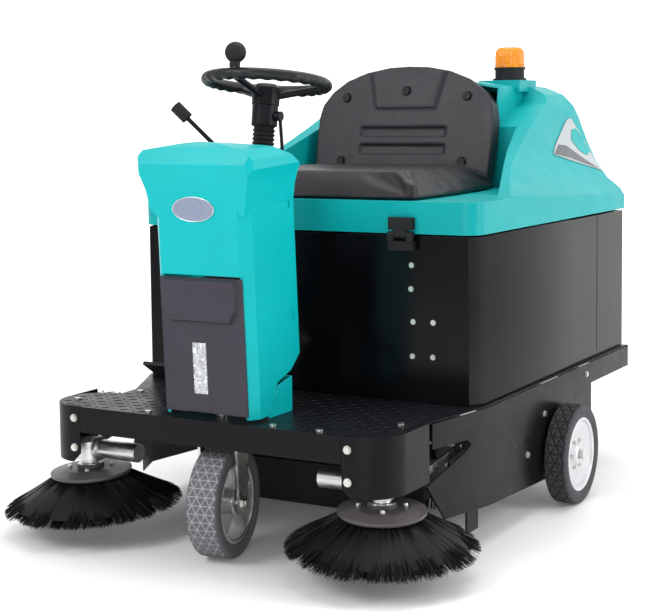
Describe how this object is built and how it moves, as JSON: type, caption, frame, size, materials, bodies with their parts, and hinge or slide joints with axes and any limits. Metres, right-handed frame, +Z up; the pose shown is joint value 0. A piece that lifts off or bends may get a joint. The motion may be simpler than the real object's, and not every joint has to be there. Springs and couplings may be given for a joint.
{
  "type": "ride-on sweeper",
  "caption": "Ride-on battery floor sweeper with a steered front wheel, disc side brushes, roller brush, rear hopper, and seat on a tilting hood",
  "frame": {"origin": "on the floor, at the centre of the footprint", "axes": "+Z up; -Y is the way the machine drives forward; +X is the driver's left"},
  "size_m": [1.2038, 1.5406, 1.164],
  "materials": {
    "chassis_black": "gloss powder coat",
    "zinc_steel": "zinc plated",
    "shell_teal": "satin rotational moulding",
    "panel_grey": "fine grain",
    "lamp_clear": "faceted",
    "badge_blue": "domed",
    "column_black": "satin",
    "black_rubber": "moulded",
    "cast_aluminium": "cast",
    "motor_grey": "satin",
    "tyre_grey": "moulded rubber",
    "bristle_black": "polypropylene bristles",
    "seat_skin": "moulded skin over foam",
    "beacon_amber": "clear amber",
    "filter_paper": "pleated"
  },
  "bodies": {
    "chassis": {"chassis_frame": "chassis_black", "deck_plate": "chassis_black", "front_beam": "chassis_black", "corner_guard_left": "chassis_black", "corner_guard_right": "chassis_black", "side_skirt_left": "chassis_black", "side_skirt_right": "chassis_black", "body_casing": "chassis_black", "body_fasteners": "zinc_steel", "battery_pack": "panel_grey", "dash_shell": "shell_teal", "dash_rear_cover": "shell_teal", "dash_access_panel": "panel_grey", "headlamp_lens": "lamp_clear", "badge_plate": "badge_blue", "column_tube": "column_black", "column_bellows": "black_rubber", "steering_gearbox": "cast_aluminium", "rear_axles": "zinc_steel", "drive_motors": "motor_grey", "main_brush_housing": "chassis_black", "main_brush_motor": "motor_grey", "hinge_lower_leaves": "black_rubber", "rubber_flaps": "black_rubber", "lift_linkage": "zinc_steel", "tow_plate": "chassis_black"},
    "steering": {"steering_rim": "black_rubber", "steering_hub": "column_black"},
    "spinner": {"spinner_knob": "black_rubber"},
    "column_lever": {"column_lever": "column_black"},
    "fork": {"front_fork": "zinc_steel", "front_axle": "zinc_steel"},
    "front_wheel": {"front_tyre": "tyre_grey", "front_rim": "cast_aluminium"},
    "rear_wheel_left": {"rear_tyre_left": "tyre_grey", "rear_rim_left": "cast_aluminium"},
    "rear_wheel_right": {"rear_tyre_right": "tyre_grey", "rear_rim_right": "cast_aluminium"},
    "arm_left": {"brush_arm_left": "zinc_steel", "brush_gearmotor_left": "cast_aluminium"},
    "arm_right": {"brush_arm_right": "zinc_steel", "brush_gearmotor_right": "cast_aluminium"},
    "side_brush_left": {"brush_disc_left": "cast_aluminium", "side_bristles_left": "bristle_black"},
    "side_brush_right": {"brush_disc_right": "cast_aluminium", "side_bristles_right": "bristle_black"},
    "roller_brush": {"main_brush_core": "cast_aluminium", "main_brush_bristles": "bristle_black"},
    "seat_hood": {"hood": "shell_teal", "seat_cushion": "seat_skin", "seat_back": "panel_grey", "seat_screws": "column_black", "beacon_base": "black_rubber", "beacon_lens": "beacon_amber", "hinge_upper_leaves": "black_rubber"},
    "hopper": {"hopper": "chassis_black", "dust_filter": "filter_paper"},
    "lift_lever": {"lift_lever": "column_black", "lift_lever_grip": "black_rubber"},
    "pedal": {"accelerator_pedal": "column_black"}
  },
  "joints": [
    {"name": "steering_turn", "type": "hinge", "parent": "chassis", "child": "steering", "pos_m": [0, -0.372, 1.06], "axis": [0, 0.1392, 0.9903], "range_deg": [-180, 180]},
    {"name": "spinner_spin", "type": "hinge", "parent": "steering", "child": "spinner", "pos_m": [0, -0.50587, 1.09901], "axis": [0, 0.1392, 0.9903], "continuous": true},
    {"name": "direction_lever", "type": "hinge", "parent": "chassis", "child": "column_lever", "pos_m": [0.038, -0.38286, 0.98276], "axis": [1, 0, 0], "range_deg": [-12, 0]},
    {"name": "fork_swivel", "type": "hinge", "parent": "chassis", "child": "fork", "pos_m": [0, -0.578, 0.26], "axis": [0, 0, 1], "range_deg": [-60, 60]},
    {"name": "front_wheel_roll", "type": "hinge", "parent": "fork", "child": "front_wheel", "pos_m": [0, -0.578, 0.125], "axis": [0.9877, 0.1564, 0], "continuous": true},
    {"name": "rear_wheel_left_roll", "type": "hinge", "parent": "chassis", "child": "rear_wheel_left", "pos_m": [0.526, 0.217, 0.125], "axis": [1, 0, 0], "continuous": true},
    {"name": "rear_wheel_right_roll", "type": "hinge", "parent": "chassis", "child": "rear_wheel_right", "pos_m": [-0.496, 0.217, 0.125], "axis": [1, 0, 0], "continuous": true},
    {"name": "arm_left_lift", "type": "hinge", "parent": "chassis", "child": "arm_left", "pos_m": [0.44, -0.262, 0.232], "axis": [1, 0, 0], "range_deg": [0, 4]},
    {"name": "arm_right_lift", "type": "hinge", "parent": "chassis", "child": "arm_right", "pos_m": [-0.44, -0.262, 0.232], "axis": [1, 0, 0], "range_deg": [0, 4]},
    {"name": "side_brush_left_spin", "type": "hinge", "parent": "arm_left", "child": "side_brush_left", "pos_m": [0.39, -0.56, 0.15], "axis": [0.0349, -0.0523, 0.998], "continuous": true},
    {"name": "side_brush_right_spin", "type": "hinge", "parent": "arm_right", "child": "side_brush_right", "pos_m": [-0.39, -0.56, 0.15], "axis": [-0.0349, -0.0523, 0.998], "continuous": true},
    {"name": "roller_brush_spin", "type": "hinge", "parent": "chassis", "child": "roller_brush", "pos_m": [0, -0.02, 0.122], "axis": [1, 0, 0], "continuous": true},
    {"name": "hood_hinge", "type": "hinge", "parent": "chassis", "child": "seat_hood", "pos_m": [0, -0.274, 0.709], "axis": [1, 0, 0], "range_deg": [0, 45]},
    {"name": "hopper_slide", "type": "slide", "parent": "chassis", "child": "hopper", "axis": [0, 1, 0], "range_m": [0, 0.4]},
    {"name": "lift_lever_pull", "type": "hinge", "parent": "chassis", "child": "lift_lever", "pos_m": [0.042, -0.444, 0.8], "axis": [0, 1, 0], "range_deg": [0, 12]},
    {"name": "accelerator_press", "type": "hinge", "parent": "chassis", "child": "pedal", "pos_m": [-0.215, -0.4, 0.335], "axis": [1, 0, 0], "range_deg": [0, 18], "stiffness_Nm_per_rad": 6, "springref_deg": -11.46}
  ],
  "couplings": [
    {"joint": "steering_turn", "follows": "fork_swivel", "ratio": 3},
    {"joint": "arm_right_lift", "follows": "arm_left_lift", "ratio": 1},
    {"joint": "lift_lever_pull", "follows": "arm_left_lift", "ratio": 3}
  ]
}
